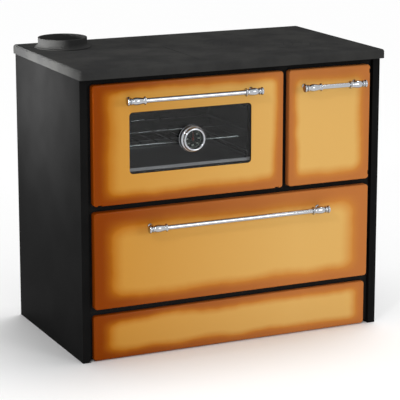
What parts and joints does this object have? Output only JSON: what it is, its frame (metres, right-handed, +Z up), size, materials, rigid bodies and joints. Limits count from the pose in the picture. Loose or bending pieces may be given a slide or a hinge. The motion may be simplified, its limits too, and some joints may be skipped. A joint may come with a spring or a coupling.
{
  "type": "wood cookstove",
  "caption": "Wood-fired cookstove: cast hob with lift-out rings and flue collar, glazed oven door, fire door, wood drawer and plinth in a black body.",
  "frame": {"origin": "middle of the floor area that the stove with its handles covers", "axes": "+X to the right along the front, +Y to the rear, +Z up"},
  "size_m": [0.972, 0.604, 0.88],
  "materials": {
    "black_paint": "satin black stove paint",
    "black_iron": "black cast iron",
    "cast_iron": "dark grey cast iron hob",
    "enamel": "glossy shaded amber enamel on pressed steel",
    "oven_enamel": "black oven enamel",
    "steel": "plain steel sheet",
    "chrome": "polished chrome",
    "dark_glass": "tinted oven glass",
    "clear_glass": "clear glass",
    "firebrick": "firebrick",
    "mineral_wool": "mineral wool",
    "rope": "glass-fibre rope",
    "dial_face": "black printed dial",
    "needle_paint": "red painted pointer"
  },
  "bodies": {
    "cabinet": {"left_side_panel": "black_paint", "right_side_panel": "black_paint", "rear_panel": "black_paint", "cabinet_floor": "black_paint", "inner_deck": "steel", "front_frame": "black_iron", "plinth": "enamel", "hob_frame": "cast_iron", "left_hob_plate": "cast_iron", "right_hob_plate": "cast_iron", "flue_collar": "cast_iron", "smoke_jacket": "steel", "insulation_wrap": "mineral_wool", "oven_box": "oven_enamel", "oven_baffle": "steel", "oven_rack": "chrome", "oven_tray": "steel", "firebox_casing": "black_iron", "left_firebrick": "firebrick", "right_firebrick": "firebrick", "rear_firebrick": "firebrick", "fire_grate": "black_iron", "ash_pan": "steel", "oven_hinge_pin_left": "steel", "oven_hinge_pin_right": "steel", "fire_hinge_pin_lower": "steel", "fire_hinge_pin_upper": "steel", "left_drawer_runner": "steel", "right_drawer_runner": "steel"},
    "oven_door": {"oven_door_panel": "enamel", "oven_outer_glass": "dark_glass", "oven_door_lining": "black_iron", "oven_door_seal": "rope", "oven_inner_glass": "clear_glass", "oven_handle_left_end": "chrome", "oven_handle_right_end": "chrome", "oven_handle_bar": "chrome", "thermometer_case": "chrome", "thermometer_dial": "dial_face", "thermometer_lens": "clear_glass"},
    "needle": {"thermometer_needle": "needle_paint"},
    "fire_door": {"fire_door_panel": "enamel", "fire_door_lining": "black_iron", "fire_door_seal": "rope", "fire_door_insulation": "mineral_wool", "fire_handle_left_end": "chrome", "fire_handle_right_end": "chrome", "fire_handle_bar": "chrome"},
    "wood_drawer": {"drawer_front": "enamel", "drawer_box": "steel", "drawer_handle_left_end": "chrome", "drawer_handle_right_end": "chrome", "drawer_handle_bar": "chrome"},
    "ring_4": {"hob_ring_4": "cast_iron"},
    "ring_3": {"hob_ring_3": "cast_iron"},
    "ring_2": {"hob_ring_2": "cast_iron"},
    "ring_1": {"hob_ring_1": "cast_iron"},
    "disc": {"hob_disc": "cast_iron"},
    "air_control": {"air_slide": "steel"}
  },
  "joints": [
    {"name": "oven_door_hinge", "type": "hinge", "parent": "cabinet", "child": "oven_door", "pos_m": [-0.1475, -0.243, 0.471], "axis": [1, 0, 0], "range_deg": [0, 90], "stiffness_Nm_per_rad": 4, "springref_deg": -20.05},
    {"name": "fire_door_hinge", "type": "hinge", "parent": "cabinet", "child": "fire_door", "pos_m": [0.429, -0.243, 0.6325], "axis": [0, 0, 1], "range_deg": [0, 95]},
    {"name": "drawer_slide", "type": "slide", "parent": "cabinet", "child": "wood_drawer", "axis": [0, -1, 0], "range_m": [0, 0.4]},
    {"name": "ring_4_lift", "type": "slide", "parent": "cabinet", "child": "ring_4", "axis": [0, 0, 1], "range_m": [0, 0.1]},
    {"name": "ring_3_lift", "type": "slide", "parent": "ring_4", "child": "ring_3", "axis": [0, 0, 1], "range_m": [0, 0.1]},
    {"name": "ring_2_lift", "type": "slide", "parent": "ring_3", "child": "ring_2", "axis": [0, 0, 1], "range_m": [0, 0.1]},
    {"name": "ring_1_lift", "type": "slide", "parent": "ring_2", "child": "ring_1", "axis": [0, 0, 1], "range_m": [0, 0.1]},
    {"name": "disc_lift", "type": "slide", "parent": "ring_1", "child": "disc", "axis": [0, 0, 1], "range_m": [0, 0.1]},
    {"name": "needle_turn", "type": "hinge", "parent": "oven_door", "child": "needle", "pos_m": [-0.1445, -0.27, 0.6325], "axis": [0, 1, 0], "range_deg": [0, 270], "stiffness_Nm_per_rad": 0.002},
    {"name": "air_slide_travel", "type": "slide", "parent": "cabinet", "child": "air_control", "axis": [1, 0, 0], "range_m": [0, 0.012]}
  ]
}
